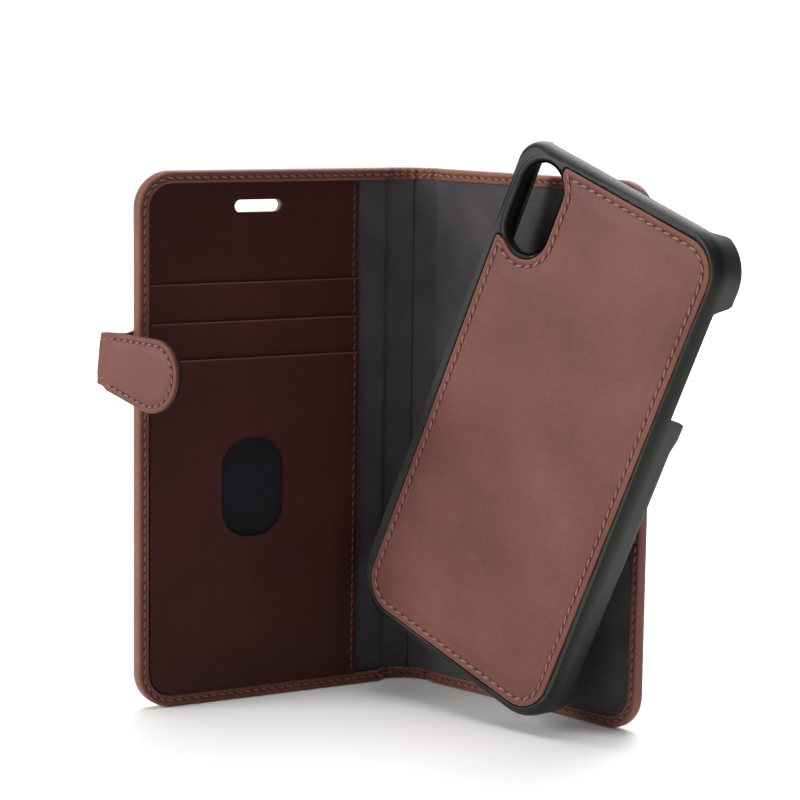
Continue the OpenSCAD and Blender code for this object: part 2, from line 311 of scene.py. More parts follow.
def stitches(name, path, place, depth, material, closed=False, pitch=2.7, length=2.3,
             width=0.6, height=0.5, slant=12, side=-1, shift=0.0):
    # each stitch is a thin ellipsoid, laid aslant, sunk at both ends; side is -1 where the
    # thread shows on the near side; shift moves them along by a share of the pitch
    spot, way = alongPath(path, pitch, closed, shift)
    turn = math.radians(slant)
    way = np.stack([way[:, 0] * math.cos(turn) - way[:, 1] * math.sin(turn),
                    way[:, 0] * math.sin(turn) + way[:, 1] * math.cos(turn)], 1)
    across = np.stack([-way[:, 1], way[:, 0]], 1)
    sides, rings = 7, 6
    u = np.linspace(0, 2 * math.pi, sides, endpoint=False)
    v = np.linspace(-0.96, 0.96, rings) * math.pi / 2
    tall, wide = np.meshgrid(np.cos(v), u, indexing="ij")
    dx = (np.sin(v)[:, None] + 0 * wide) * length / 2
    dy = tall * np.cos(wide) * width / 2
    dz = tall * np.sin(wide) * height / 2
    level = depth(spot) if callable(depth) else depth + np.zeros(len(spot))
    plan = (spot[:, None, None] + way[:, None, None] * dx[None, ..., None]
            + across[:, None, None] * dy[None, ..., None])
    deep = level[:, None, None] + side * (height * 0.15) + dz[None] + 0 * plan[..., 0]
    verts = place(plan.reshape(-1, 2), deep.reshape(-1))
    faces = []
    block = sides * rings
    one = np.arange(sides)
    two = (one + 1) % sides
    pattern = [np.stack([k * sides + one, k * sides + two, (k + 1) * sides + two,
                         (k + 1) * sides + one], 1) for k in range(rings - 1)]
    pattern = np.vstack(pattern)
    for k in range(len(spot)):
        faces += (pattern + k * block).tolist()
        faces.append([k * block + int(i) for i in one[::-1]])
        faces.append([k * block + (rings - 1) * sides + int(i) for i in one])
    return finishMesh(name, verts, faces, material, None, 80)


# ---- materials ----


def linear(hexColour):
    # sRGB hex to linear light
    parts = [int(hexColour[k:k + 2], 16) / 255 for k in (1, 3, 5)]
    return tuple(c / 12.92 if c <= 0.04045 else ((c + 0.055) / 1.055) ** 2.4 for c in parts) + (1,)


def addNode(tree, kind, settings=None, links=None):
    node = tree.nodes.new(kind)
    for key, value in (settings or {}).items():
        if isinstance(key, str) and hasattr(node, key):
            setattr(node, key, value)
        else:
            node.inputs[key].default_value = value
    for key, source in (links or {}).items():
        tree.links.new(source, node.inputs[key])
    return node


def startMaterial(name, settings):
    material = bpy.data.materials.new(name)
    material.use_nodes = True
    tree = material.node_tree
    shader = tree.nodes["Principled BSDF"]
    for key, value in settings.items():
        shader.inputs[key].default_value = value
    return material, tree, shader


def perMm(size):
    # a pattern's scale on Object coordinates, from its real size in mm
    return 1 / (size * mm)


def noise(tree, place, size, detail, roughness=0.5):
    # a cloudy pattern, with its largest patches this many mm across
    settings = {"Scale": perMm(size), "Detail": detail, "Roughness": roughness}
    return addNode(tree, "ShaderNodeTexNoise", settings, {"Vector": place}).outputs["Fac"]


def shades(tree, dark, light, share):
    # a colour between two hex colours
    settings = {"data_type": "RGBA", 6: linear(dark), 7: linear(light)}
    return addNode(tree, "ShaderNodeMix", settings, {0: share}).outputs[2]


def addRelief(tree, shader, height, strength, distance):
    bump = addNode(tree, "ShaderNodeBump", {"Strength": strength, "Distance": distance},
                   {"Height": height})
    tree.links.new(bump.outputs[0], shader.inputs["Normal"])


def leatherMaterial(name, dark, light, scuffedAndHighlit, grain, gloss, shine):
    # aniline-dyed smooth cowhide, waxed: uneven dye, a fine closed grain, and paler edges,
    # partly scuffed finish and partly a painted highlight
    material, tree, shader = startMaterial(name, {"IOR": 1.46, "Specular IOR Level": shine})
    place = addNode(tree, "ShaderNodeTexCoord").outputs["Object"]
    cloud = noise(tree, place, 30, 3.0, 0.55)
    fleck = noise(tree, place, 1.1, 4.0, 0.6)
    share = addNode(tree, "ShaderNodeMath", {"operation": "MULTIPLY_ADD", 1: 0.45, 2: 0.0}, {0: fleck})
    total = addNode(tree, "ShaderNodeMath", {"operation": "ADD"}, {0: cloud, 1: share.outputs[0]})
    spread = addNode(tree, "ShaderNodeMapRange", {"From Min": 0.5, "From Max": 0.95},
                     {"Value": total.outputs[0]})
    dye = shades(tree, dark, light, spread.outputs[0])
    # this attribute paints edges paler, for scuffing and as a painted highlight
    scuffHighlightShare = addNode(tree, "ShaderNodeAttribute", {"attribute_name": "scuffAndHighlight"})
    patch = addNode(tree, "ShaderNodeMath", {"operation": "MULTIPLY", "use_clamp": True},
                    {0: scuffHighlightShare.outputs["Fac"], 1: total.outputs[0]})
    colour = addNode(tree, "ShaderNodeMix", {"data_type": "RGBA", 7: linear(scuffedAndHighlit)},
                     {0: patch.outputs[0], 6: dye})
    tree.links.new(colour.outputs[2], shader.inputs["Base Color"])
    rough = addNode(tree, "ShaderNodeMapRange", {"To Min": gloss - 0.07, "To Max": gloss + 0.09},
                    {"Value": fleck})
    tree.links.new(rough.outputs[0], shader.inputs["Roughness"])
    cells = addNode(tree, "ShaderNodeTexVoronoi", {"feature": "DISTANCE_TO_EDGE",
                                                   "Scale": perMm(grain)}, {"Vector": place})
    crease = addNode(tree, "ShaderNodeMapRange", {"From Max": 0.12},
                     {"Value": cells.outputs["Distance"]})
    height = addNode(tree, "ShaderNodeMath", {"operation": "MULTIPLY_ADD", 1: 0.5},
                     {0: crease.outputs[0], 2: fleck})
    addRelief(tree, shader, height.outputs[0], 0.35, 0.0001)
    return material


def clothMaterial(name, dark, light):
    # microfibre suede: a dense nap, so it is matte with a soft pale sheen
    material, tree, shader = startMaterial(name, {
        "Roughness": 0.92, "IOR": 1.45, "Sheen Weight": 0.05, "Sheen Roughness": 0.45,
        "Specular IOR Level": 0.12})
    place = addNode(tree, "ShaderNodeTexCoord").outputs["Object"]
    nap = noise(tree, place, 0.5, 3.0)
    brushed = noise(tree, place, 18, 2.0)
    blend = addNode(tree, "ShaderNodeMath", {"operation": "MULTIPLY_ADD", 1: 0.5}, {0: nap, 2: brushed})
    spread = addNode(tree, "ShaderNodeMapRange", {"From Min": 0.45, "From Max": 1.05},
                     {"Value": blend.outputs[0]})
    tree.links.new(shades(tree, dark, light, spread.outputs[0]), shader.inputs["Base Color"])
    addRelief(tree, shader, nap, 0.5, 0.0001)
    return material


def rubberMaterial():
    # moulded polyurethane with a soft-touch finish: near black, with a broad dull gloss
    material, tree, shader = startMaterial("softTouchMoulding", {"IOR": 1.5,
                                                                 "Specular IOR Level": 0.32})
    place = addNode(tree, "ShaderNodeTexCoord").outputs["Object"]
    spark = noise(tree, place, 0.35, 2.0)
    dull = noise(tree, place, 22, 2.0)
    rough = addNode(tree, "ShaderNodeMapRange", {"To Min": 0.42, "To Max": 0.56}, {"Value": dull})
    tree.links.new(shades(tree, "#090909", "#0f0f0e", dull), shader.inputs["Base Color"])
    tree.links.new(rough.outputs[0], shader.inputs["Roughness"])
    addRelief(tree, shader, spark, 0.25, 0.00005)
    return material


def speckMaterial(name, dark, light, size, detail, settings):
    # plain stuff with a fine speckle: twisted thread, pressed board, plated metal, and the painted
    # shade inside needle holes
    material, tree, shader = startMaterial(name, settings)
    place = addNode(tree, "ShaderNodeTexCoord").outputs["Object"]
    speck = noise(tree, place, size, detail)
    tree.links.new(shades(tree, dark, light, speck), shader.inputs["Base Color"])
    return material


outerLeather = leatherMaterial("waxedCowhide", "#5c352d", "#6f443a", "#8a5c4e", 0.9, 0.46, 0.22)
# the pockets are the same cowhide as outside, painted darker: painted shade on the front cover's inner
# side
shadedPocketLeather = leatherMaterial("cowhidePaintedShade", "#351818", "#431f1f", "#7c4a38", 0.8, 0.45, 0.12)
cloth = clothMaterial("microfibreLining", "#373437", "#4f4b4e")
# the same microfibre as the lining above, painted darker: painted shade for the lining seen through the
# thumb window and under the clasp tab
shadedLiningCloth = clothMaterial("liningClothPaintedShade", "#17171c", "#222127")
moulding = rubberMaterial()
# bonded polyester thread: two plies twisted, with a faint shine
bonded = {"Roughness": 0.55, "IOR": 1.5}
# near-black discs that paint the shade inside each needle hole
needleHoleShade = speckMaterial("needleHoleShade", "#1a0c0b", "#2a1512", 0.4, 2.0, bonded)
thread = speckMaterial("brownThread", "#6c4439", "#906357", 0.4, 2.0, bonded)
darkThread = speckMaterial("darkBrownThread", "#3a2220", "#5b3a34", 0.4, 2.0, bonded)
# pressed paperboard, and rolled steel with a nickel plating
pressedBoard = speckMaterial("pressedBoard", "#77736b", "#9a968d", 0.8, 4.0, {"Roughness": 0.9})
platedSteel = speckMaterial("nickelPlate", "#8d8f92", "#b4b7ba", 0.3, 4.0,
                            {"Metallic": 1.0, "Roughness": 0.32})
for nodeName, material in (("back_cover_board", pressedBoard), ("front_cover_board", pressedBoard),
                           ("dock_magnets", platedSteel), ("clasp_keeper", platedSteel),
                           ("clasp_magnet", platedSteel), ("shell_plate", platedSteel)):
    cadPiece = frame["nodes"][nodeName]
    for k in range(len(cadPiece.material_slots)):
        cadPiece.material_slots[k].material = material
print("materials made")

# ---- the covers: one leather skin each, with half the spine, its hem turned over inside ----

hemLine = 1.95  # the seam's distance from the edge
spineEnd = -wallet["spine"] / 2
gathers = dict(pitch=2.9, rise=0.34, reach=6.0)
earpiece = dict(centre=(42.2, wallet["height"] - 10.2), length=15.0, width=3.6)
coverMiddle = np.array([wallet["cover"] / 2 - 4, wallet["height"] / 2])
lining = dict(outer=2.1, spineInner=1.9, spineOuter=1.15, ease=(-0.6, 1.4))  # depths of its faces


def coverLoop(inset=0.0, step=0.9):
    # half the spine and one cover, with exact corners where the two halves of the spine meet
    r = wallet["corner"] - inset
    low, high = inset, wallet["height"] - inset
    loop = roundedLoop(spineEnd, wallet["cover"] - inset, low, high, (0, r, r, 0), step)
    for corner in ((spineEnd, low), (spineEnd, high)):
        loop[np.argmin(np.linalg.norm(loop - corner, axis=1))] = corner
    return loop


def fineSpine(loop):
    # the ends of the half spine get points three times as close, for its curve and gathers
    out = []
    for a, b in zip(loop, np.roll(loop, -1, 0)):
        count = 3 if (min(a[0], b[0]) < 3 and abs(a[1] - b[1]) < 0.05) else 1
        out += [a + (b - a) * k / count for k in range(count)]
    return np.array(out)


def innerDepth(coverDepth):
    # how deep the inner side lies: shallow on the spine, full depth past the fold
    more = coverDepth - wallet["spineDepth"]
    return lambda plan: wallet["spineDepth"] + more * smoothStep(plan[:, 0], *wallet["ease"])


def ruffle(plan):
    # gathers of the hem on the spine: a cosine along it, even about the spine's middle
    ends = np.minimum(plan[:, 1], wallet["height"] - plan[:, 1])
    fade = (1 - smoothStep(plan[:, 0], -1.5, 1.2)) * (1 - smoothStep(ends, 3.5, gathers["reach"]))
    wave = np.cos((plan[:, 0] - spineEnd) * 2 * math.pi / gathers["pitch"])
    return gathers["rise"] * fade * wave * (0.7 + 0.3 * np.cos((plan[:, 0] - spineEnd) * 0.9))


frontInner, backInner = innerDepth(wallet["frontDepth"]), innerDepth(wallet["backDepth"])


def coverLeather(name, deep, place, hole=None):
    loop = fineSpine(coverLoop())
    full = deep(loop)
    skinT, hem = wallet["skin"], wallet["hem"]
    middle = coverMiddle
    shares = np.concatenate([np.linspace(0.04, 0.72, 12), np.linspace(0.75, 0.995, 26)])
    at = lambda inset: shrink(loop, inset, spineEnd)
    if hole is None:
        inner = middle + (loop - middle) * 0.02
        outerRim, innerRim = [], []
    else:
        middle = np.array(earpiece["centre"])
        hole = rayLoop(hole, middle, loop)
        inner = shrink(hole, -0.35)
        outerRim = [(shrink(hole, -i), s, 1) for i, s in ((0, 0.6), (0, 0.3), (0.1, 0.1), (0.2, 0.03))]
        innerRim = [(hole, skinT, 0)]
    outer = outerRim + between(inner, at(2.4), shares, 0.0)
    # each row's last number is its paler edge colour: scuffing, and a painted highlight along the
    # rolled edge and the hem's cut edge
    edge = [(1.6, 0.01, 0.1), (1.1, 0.06, 0.2), (0.72, 0.18, 0.3), (0.4, 0.38, 0.4), (0.15, 0.66, 0.5),
            (0.03, 1.0, 0.5)]
    outer += [(at(i), s + 0.25 * ruffle(at(i)), w) for i, s, w in edge]
    outer += [(at(0), full / 2, 0.5)]
    turned = [(0.04, 0.95, 0.6), (0.18, 0.6, 0.8), (0.42, 0.32, 0.9), (0.72, 0.13, 0.5),
              (1.05, 0.04, 0)]
    outer += [(at(i), full - s + ruffle(at(i)) * 0.8, w) for i, s, w in turned]
    hemShape = [(hemLine - 0.62, 0.05, 0), (hemLine - 0.32, 0.16, 0), (hemLine, 0.36, 0),
                (hemLine + 0.32, 0.16, 0), (hemLine + 0.62, 0.05, 0), (hem - 0.3, 0.06, 0.5),
                (hem - 0.1, 0.2, 1), (hem, 0.45, 0.5), (hem, 0.9, 0), (hem - 0.15, 1.08, 0),
                (1.2, 1.1, 0)]
    outer += [(at(i), full - s + ruffle(at(i)), w) for i, s, w in hemShape]
    outer += [(at(1.0), np.maximum(full - 1.2, skinT + 0.02), 0), (at(1.0), skinT + 0.01, 0)]
    outer += between(inner, at(1.2), shares[::-1], skinT)
    rows = outer + innerRim
    return skin(name, rows, place, outerLeather, closed=hole is not None)


earLoop = pillLoop(earpiece["centre"], earpiece["length"], earpiece["width"], 0.3)
frontLeather = coverLeather("frontCoverLeather", frontInner, placeFront, earLoop)
backLeather = coverLeather("backCoverLeather", backInner, placeBack)
print("cover leather made")


def liningPiece(name, nearCover, inset, place, hole=None):
    loop = fineSpine(coverLoop(inset))
    loop[:, 1] = np.clip(loop[:, 1], inset, wallet["height"] - inset)

    def face(plan, onSpine, onCover):
        return onSpine + (onCover - onSpine) * smoothStep(plan[:, 0], *lining["ease"])

    near = lambda plan: face(plan, lining["spineInner"], nearCover)
    far = lambda plan: face(plan, lining["spineOuter"], lining["outer"])
    middle = coverMiddle
    shares = np.concatenate([np.linspace(0.04, 0.72, 10), np.linspace(0.75, 0.995, 30)])
    if hole is not None:
        middle = np.array(earpiece["centre"])
        hole = rayLoop(hole, middle, loop)
    rows = slabRows(loop, middle, near, far, 0.2, spineEnd, hole, shares)
    return skin(name, rows, place, cloth, closed=hole is not None)


frontLining = liningPiece("frontLining", 2.7, 1.2, placeFront, earLoop)
backLining = liningPiece("backLining", 2.95, wallet["hem"] + 0.02, placeBack)
print("linings made")

# ---- the card pockets on the front cover's inner side ----

pockets = dict(start=10.0, end=76.0, layer=0.45, base=2.7, upper=120.4, middle=109.5, front=99.0,
               drop=30.0, window=(19.2, 28.6), windowCentre=(44.4, 61.7),
               windowRound=8.6, lift=0.35)


def pocketPiece(name, low, high, layer, hole=None, centre=None, mouth=True, material=None):
    # one pocket layer; its mouth, the upper edge, stands a little open and is painted paler, as
    # scuffing and a painted highlight
    top = min(high, wallet["height"] - wallet["hem"] - 0.1)
    bottom = max(low, wallet["hem"] + 0.1)
    r = wallet["corner"] - wallet["hem"]
    radii = (0.6, r if low < wallet["hem"] else 0.6, r if high > wallet["height"] - 8 else 0.6, 0.6)
    loop = roundedLoop(pockets["start"], pockets["end"], bottom, top, radii, 0.8)
    width = pockets["end"] - pockets["start"]

    def far(plan):
        # the layer's back, lifted towards its mouth, most in the middle
        share = np.clip((plan[:, 0] - pockets["start"]) / width, 0, 1)
        bow = np.sin(math.pi * share) ** 0.7
        lift = pockets["lift"] * bow * np.exp(-(top - plan[:, 1]) / 3.0) if mouth else 0 * share
        return pockets["base"] + layer * pockets["layer"] + lift

    def near(plan):
        return far(plan) + pockets["layer"] + 0.12 * smoothStep(top - plan[:, 1], 2.2, 0) * mouth

    middle = np.array([(pockets["start"] + pockets["end"]) / 2, (bottom + top) / 2])
    shares = np.concatenate([np.linspace(0.04, 0.8, 12), np.linspace(0.83, 0.995, 16)])
    if hole is not None:
        middle = np.array(centre)
        hole = rayLoop(hole, middle, loop)
    # the mouth's top edge is painted paler: scuffing and a painted highlight
    scuffAndHighlightAt = lambda plan: mouth * (plan[:, 1] > top - 0.2)
    rows = slabRows(loop, middle, near, far, 0.2, None, hole, shares, scuffAndHighlightAt)
    # pocket layers default to the darker cowhide, which is painted shade
    return skin(name, rows, placeFront, material or shadedPocketLeather, closed=hole is not None)


windowCentre = pockets["windowCentre"]
windowLow = np.array(windowCentre) - np.array(pockets["window"]) / 2
windowHigh = np.array(windowCentre) + np.array(pockets["window"]) / 2
windowLoop = roundedLoop(windowLow[0], windowHigh[0], windowLow[1], windowHigh[1],
                         (pockets["windowRound"],) * 4, 0.4)
pocketBacking = pocketPiece("pocketBacking", 0, wallet["height"], 0, earLoop, earpiece["centre"], False)
pocketUpper = pocketPiece("cardPocketUpper", pockets["upper"] - pockets["drop"], pockets["upper"], 1)
pocketMid = pocketPiece("cardPocketMiddle", pockets["middle"] - pockets["drop"], pockets["middle"], 2)
pocketFront = pocketPiece("cardPocketFront", 0, pockets["front"], 3, windowLoop, windowCentre)
# this lining wears the darker cloth, painted shade for the recess behind the thumb window
pocketLining = pocketPiece("pocketLining", 8, 79.0, 1.2, mouth=False, material=shadedLiningCloth)
print("pockets made")

# ---- the clasp strap, in two pieces that meet half-way across its bridge ----

bridgeMiddle = (rootEnd + creaseStart) / 2
tabFold = (creaseStart + creaseEnd) / 2
tabTip = tabFold + strap["tabLength"]
bridgeFoot = -strap["width"] / 2 - 0.55
strapSeam = 1.7  # the seam's distance from the strap's edge


def rearLoop():
    # the strap's base with its round end, and its narrower part as far as the bridge's middle
    half = strap["width"] / 2
    wide = half + 2
    parts = [roundCorner((wide - 1, 0), wide - 1, 90, 270, 30), [(strap["base"] - 3, -wide)],
             [(strap["base"] + 2, -half)], [(rootStart - 2, -half)], [(bridgeMiddle, bridgeFoot)],
             [(bridgeMiddle, half)], [(strap["base"] + 2, half)], [(strap["base"] - 3, wide)]]
    return resample(np.vstack(parts), 0.5)


def tabLoop():
    # a nearly level upper edge, a sloping lower edge, and a round corner at each end
    half = strap["width"] / 2
    big, small, slope = strap["upperRound"], strap["lowerRound"], math.radians(strap["slope"])
    touch = np.array([tabTip - small - small * math.sin(slope),
                      strap["tabFoot"] + small - small * math.cos(slope)])
    foldFoot = touch[1] + (touch[0] - tabFold) * math.tan(slope)
    parts = [[(tabFold + 1, strap["tabTop"] - 0.1)], [(bridgeMiddle, half)],
             [(bridgeMiddle, bridgeFoot)], [(tabFold, foldFoot)],
             roundCorner((tabTip - small, strap["tabFoot"] + small), small, -90 - strap["slope"], 0,
                         20),
             roundCorner((tabTip - big, strap["tabTop"] - big), big, 0, 88, 30)]
    return resample(np.vstack(parts), 0.5)


def strapPiece(name, loop, seam):
    snapped = loop.copy()
    near = np.abs(snapped[:, 0] - seam) < 0.26
    snapped[near, 0] = seam
    half = strap["thick"] / 2
    middle = np.array([snapped[:, 0].mean(), 0.0])

    def outward(plan):
        # a little fuller past the seam, and pulled in along it
        off = distanceTo(plan, snapped)
        return half + 0.3 * smoothStep(off, 1.6, 4.0) - 0.18 * np.exp(-((off - strapSeam) / 0.4) ** 2)

    shares = np.concatenate([np.linspace(0.04, 0.7, 12), np.linspace(0.72, 0.99, 22)])
    rows = slabRows(snapped, middle, lambda p: -outward(p), lambda p: half + 0 * p[:, 0], 0.35, seam,
                    None, shares)
    return skin(name, rows, lambda p, d: placeStrap(p, -d), outerLeather)


claspRear = strapPiece("claspStrapRear", rearLoop(), bridgeMiddle)
claspTab = strapPiece("claspStrapTab", tabLoop(), bridgeMiddle)
tabUnder = shrink(tabLoop(), 0.25)
tabUnder = resample(tabUnder[tabUnder[:, 0] > tabFold + 0.2], 0.5)
innerFace = -strap["thick"] / 2
tabRows = slabRows(tabUnder, tabUnder.mean(0), innerFace + 0.02, innerFace - 1.0, 0.25)
# the tab's lining wears the darker cloth, painted shade along the tab's underside and edge
claspLining = skin("claspTabLining", tabRows, placeStrap, shadedLiningCloth)
print("clasp made")

# ---- the phone shell ----

shell = dict(width=75.0, length=146.4, depth=11.0, corner=12.5, wall=1.3, inset=3.0, floor=2.4,
             camera=(-25.2, 56.15), cameraWidth=14.6, cameraLength=25.7, bay=(-25.3, 55.3),
             bayWidth=15.6, bayLength=27.6, cutDepth=4.6, buttonDepth=3.4, sideDepth=9.6,
             topCut=(-34.9, 29.0), bottomCut=(-24.0, 22.0), buttonCut=(21.5, 56.5), ramp=2.5,
             cameraCorner=7.3, cutReach=6.0, sideTop=(-18.0, -13.0), sideFoot=(52.0, 62.0),
             bayLead=4.7, bayTail=4.9, bayOver=50, bayUnder=-136)


def shellLoop(inset=0.0, step=0.7):
    x, z, r = shell["width"] / 2 - inset, shell["length"] / 2 - inset, shell["corner"] - inset
    return roundedLoop(-x, x, -z, z, (r, r, r, shell["cameraCorner"] - inset), step)


def leatherLoop():
    # the leather's outline: a rounded rectangle, less a round-ended bay at the camera
    x, z, r = (shell["width"] / 2 - shell["inset"], shell["length"] / 2 - shell["inset"],
               shell["corner"] - shell["inset"])
    cx, cz = shell["bay"]
    bay = shell["bayWidth"] / 2
    run = (shell["bayLength"] - shell["bayWidth"]) / 2
    parts = [roundCorner((-x + r, -z + r), r, 180, 270), roundCorner((x - r, -z + r), r, 270, 360),
             roundCorner((x - r, z - r), r, 0, 90), [(cx + shell["bayLead"], z)],
             roundCorner((cx, cz + run), bay, shell["bayOver"], 0, 24),
             roundCorner((cx, cz - run), bay, 0, shell["bayUnder"], 60),
             [(-x, cz - run - shell["bayTail"])]]
    # every corner is softened by a running mean, weighted by a bell curve 0.7 mm wide
    step, spread, reach = 0.2, 0.7, 8
    loop = resample(np.vstack(parts), step)
    shifts = np.arange(-reach, reach + 1)
    weights = np.exp(-(shifts * step / spread) ** 2 / 2)
    weights /= weights.sum()
    soft = sum(w * np.roll(loop, k, 0) for k, w in zip(shifts, weights))
    return resample(soft, 0.5)


leatherEdge = leatherLoop()


def insideOf(points, loop):
    # +1 inside the closed loop and -1 outside, by counting crossings of a level ray
    a, b = loop, np.roll(loop, -1, 0)
    inside = np.zeros(len(points), bool)
    for k in range(len(a)):
        hit = (a[k, 1] > points[:, 1]) != (b[k, 1] > points[:, 1])
        rise = b[k, 1] - a[k, 1]
        x = a[k, 0] + (points[:, 1] - a[k, 1]) * (b[k, 0] - a[k, 0]) / (rise if rise else 1e-9)
        inside ^= hit & (points[:, 0] < x)
    return np.where(inside, 1.0, -1.0)


def outerLevel(plan):
    # the moulding's outer side: a bed for the leather, a rim round it, and a raised ring
    # round the camera
    toLeather = -distanceTo(plan, leatherEdge) * insideOf(plan, leatherEdge)
    cx, cz = shell["camera"]
    run = (shell["cameraLength"] - shell["cameraWidth"]) / 2
    toPill = np.hypot(plan[:, 0] - cx, plan[:, 1] - np.clip(plan[:, 1], cz - run, cz + run))
    toPill -= shell["cameraWidth"] / 2
    lip = 0.35 * np.exp(-((toPill - 1.1) / 1.1) ** 2) - 0.9 * (1 - smoothStep(toPill, 0, 1.3)) ** 2
    raised = 0.1 - lip
    return 1.0 + (raised - 1.0) * smoothStep(toLeather, -0.05, 0.4)


def wallEnd(plan):
    # where the wall stops: its full depth at the corners, cut low between them
    ramp = shell["ramp"]

    def gap(value, low, high):
        return smoothStep(value, low, low + ramp) * (1 - smoothStep(value, high - ramp, high))

    x, z = plan[:, 0], plan[:, 1]
    endWall = shell["length"] / 2 - shell["cutReach"]
    sideWall = x > shell["width"] / 2 - shell["cutReach"]
    top = gap(x, *shell["topCut"]) * (z > endWall)
    bottom = gap(x, *shell["bottomCut"]) * (z < -endWall)
    buttons = gap(z, *shell["buttonCut"]) * sideWall
    side = smoothStep(-z, *shell["sideTop"]) * (1 - smoothStep(-z, *shell["sideFoot"])) * sideWall
    full = shell["depth"] + (shell["sideDepth"] - shell["depth"]) * side
    low = np.maximum(top, bottom)
    return full + (shell["cutDepth"] - full) * low + (shell["buttonDepth"] - full) * buttons


def shellBody():
    # rows from the camera's opening out over the face, round the rolled edge, down the wall,
    # over its end, and back along the inside to the opening
    outline = shellLoop()
    camera = rayLoop(pillLoop(shell["camera"], shell["cameraWidth"], shell["cameraLength"], 0.2),
                     np.array(shell["camera"]), outline)
    gap = np.linalg.norm(outline - camera, axis=1)
    toward = (outline - camera) / gap[:, None]
    end = wallEnd(outline)
    floor = shell["floor"]
    nearCamera = np.array([0.12, 0.35, 0.7, 1.2, 1.8, 2.4, 2.8, 3.0, 3.2, 3.4, 3.7, 4.2])
    nearEdge = np.array([4.6, 4.0, 3.6, 3.3, 3.1, 2.9, 2.7, 2.4])
    roll = 2.2  # the rolled edge's width
    narrow = (gap - roll) * 0.6
    runs = [np.minimum(reach, reach / nearCamera[-1] * narrow) for reach in nearCamera]
    start = runs[-1]
    stop = gap - np.minimum(nearEdge[0], roll + (gap - roll - start) * 0.5)
    runs += [start + (stop - start) * t for t in np.linspace(0, 1, 50)[1:-1]]
    runs += [np.maximum(gap - inset, stop + (gap - roll - stop) * (nearEdge[0] - inset) / 2.4)
             for inset in nearEdge]
    rows = [(camera, level, 0) for level in (1.6, 0.6, 0.1)]
    for run in runs:
        plan = camera + toward * run[:, None]
        lip = np.where(run < 0.7, (0.7 - run) ** 2 * 0.9, 0)
        rows.append((plan, outerLevel(plan) + lip, 0))
    for inset, sink in ((1.9, 0.1), (1.4, 0.32), (0.95, 0.7), (0.55, 1.25), (0.25, 2.0), (0.06, 2.9),
                        (0, 3.7)):
        rows.append((shrink(outline, inset), np.minimum(0.12 + sink, end), 0))
    rolled = 3.82  # how deep the rolled edge ends
    for share in (0.35, 0.7, 0.9):
        rows.append((outline, rolled + (end - 0.35 - rolled) * share, 0))
    for inset, back in ((0.08, 0.2), (0.3, 0.05), (0.65, 0), (1.0, 0.08)):
        rows.append((shrink(outline, inset), end - back, 0))
    full = smoothStep(end, shell["cutDepth"], shell["depth"])  # the holding lip, on full walls only
    wall = shrink(outline, shell["wall"])
    for inset, back in ((1.6, 0.35), (1.85, 0.7), (1.6, 1.05)):
        rows.append((wall + (shrink(outline, inset) - wall) * full[:, None],
                     end - back * (0.3 + 0.7 * full), 0))
    for share in (1, 0.6, 0.2):
        rows.append((wall, 3.1 + (end - 1.3 - 3.1) * share, 0))
    rows += [(shrink(outline, 1.45), 2.7, 0), (shrink(outline, 1.9), floor, 0)]
    rows += between(shrink(camera, -0.3), shrink(outline, 2.3), np.linspace(1, 0.02, 24), floor)
    rows += [(camera, floor - 0.25, 0)]
    return skin("shellBody", rows, placeShell, moulding, closed=True, sharp=50)


def shellLeather():
    # a faint swell inside the seam, a ridge along it, and an edge painted paler, as scuffing and a
    # painted highlight
    loop = leatherEdge
    middle = np.array([27.0, -21.0])  # from here every part of the outline can be seen
    face = shrink(loop, 0.55)
    core = middle + (loop - middle) * 0.01

    def near(plan):
        off = distanceTo(plan, loop)
        return (-0.12 - 0.2 * smoothStep(off, 2.3, 7) + 0.3 * np.exp(-((off - 2.0) / 0.42) ** 2)
                + 0.05 * np.sin(plan[:, 0] * 0.13 + 1) * np.sin(plan[:, 1] * 0.09))

    shares = np.concatenate([np.linspace(0.04, 0.86, 20), np.linspace(0.87, 1, 36)])
    rows = between(core, face, shares, near)
    edge = ((0.36, 0.02, 0.5), (0.2, 0.12, 1), (0.08, 0.27, 1), (0, 0.5, 1), (0, 0.8, 1))
    for inset, sink, scuffedAndHighlit in edge:
        rows.append((shrink(loop, inset), near(face) + sink, scuffedAndHighlit))
    rows += between(core, shrink(loop, 0.05), (0.98, 0.5, 0.04), 0.96)
    return skin("shellLeather", rows, placeShell, outerLeather)


shellBodyPiece = shellBody()
shellLeatherPiece = shellLeather()
liningLoop = shellLoop(2.15, 0.8)
liningHole = pillLoop(shell["camera"], shell["cameraWidth"] + 1.6, shell["cameraLength"] + 1.6, 0.3)
liningHole = rayLoop(liningHole, np.array(shell["camera"]), liningLoop)
shellLining = skin("shellLining", slabRows(liningLoop, None, 2.95, 2.42, 0.15, None, liningHole),
                   placeShell, cloth, closed=True)
print("phone shell made")

# ---- sewing ----


def openHem(inset):
    # the hem's seam: foot, free edge and top, without the spine's side
    loop = shrink(coverLoop(0, 0.5), inset, spineEnd)
    gap = np.abs(loop[:, 0] - spineEnd) < 1e-3
    first = int(np.argmax(gap & ~np.roll(gap, -1)))
    return np.roll(loop, -first - 1, 0)[:len(loop) - int(gap.sum())]


def openEnd(loop):
    # a loop with a part cut away, started after the gap that this leaves
    gap = np.linalg.norm(np.diff(np.vstack([loop, loop[:1]]), axis=0), axis=1)
    return np.roll(loop, -int(np.argmax(gap)) - 1, 0)


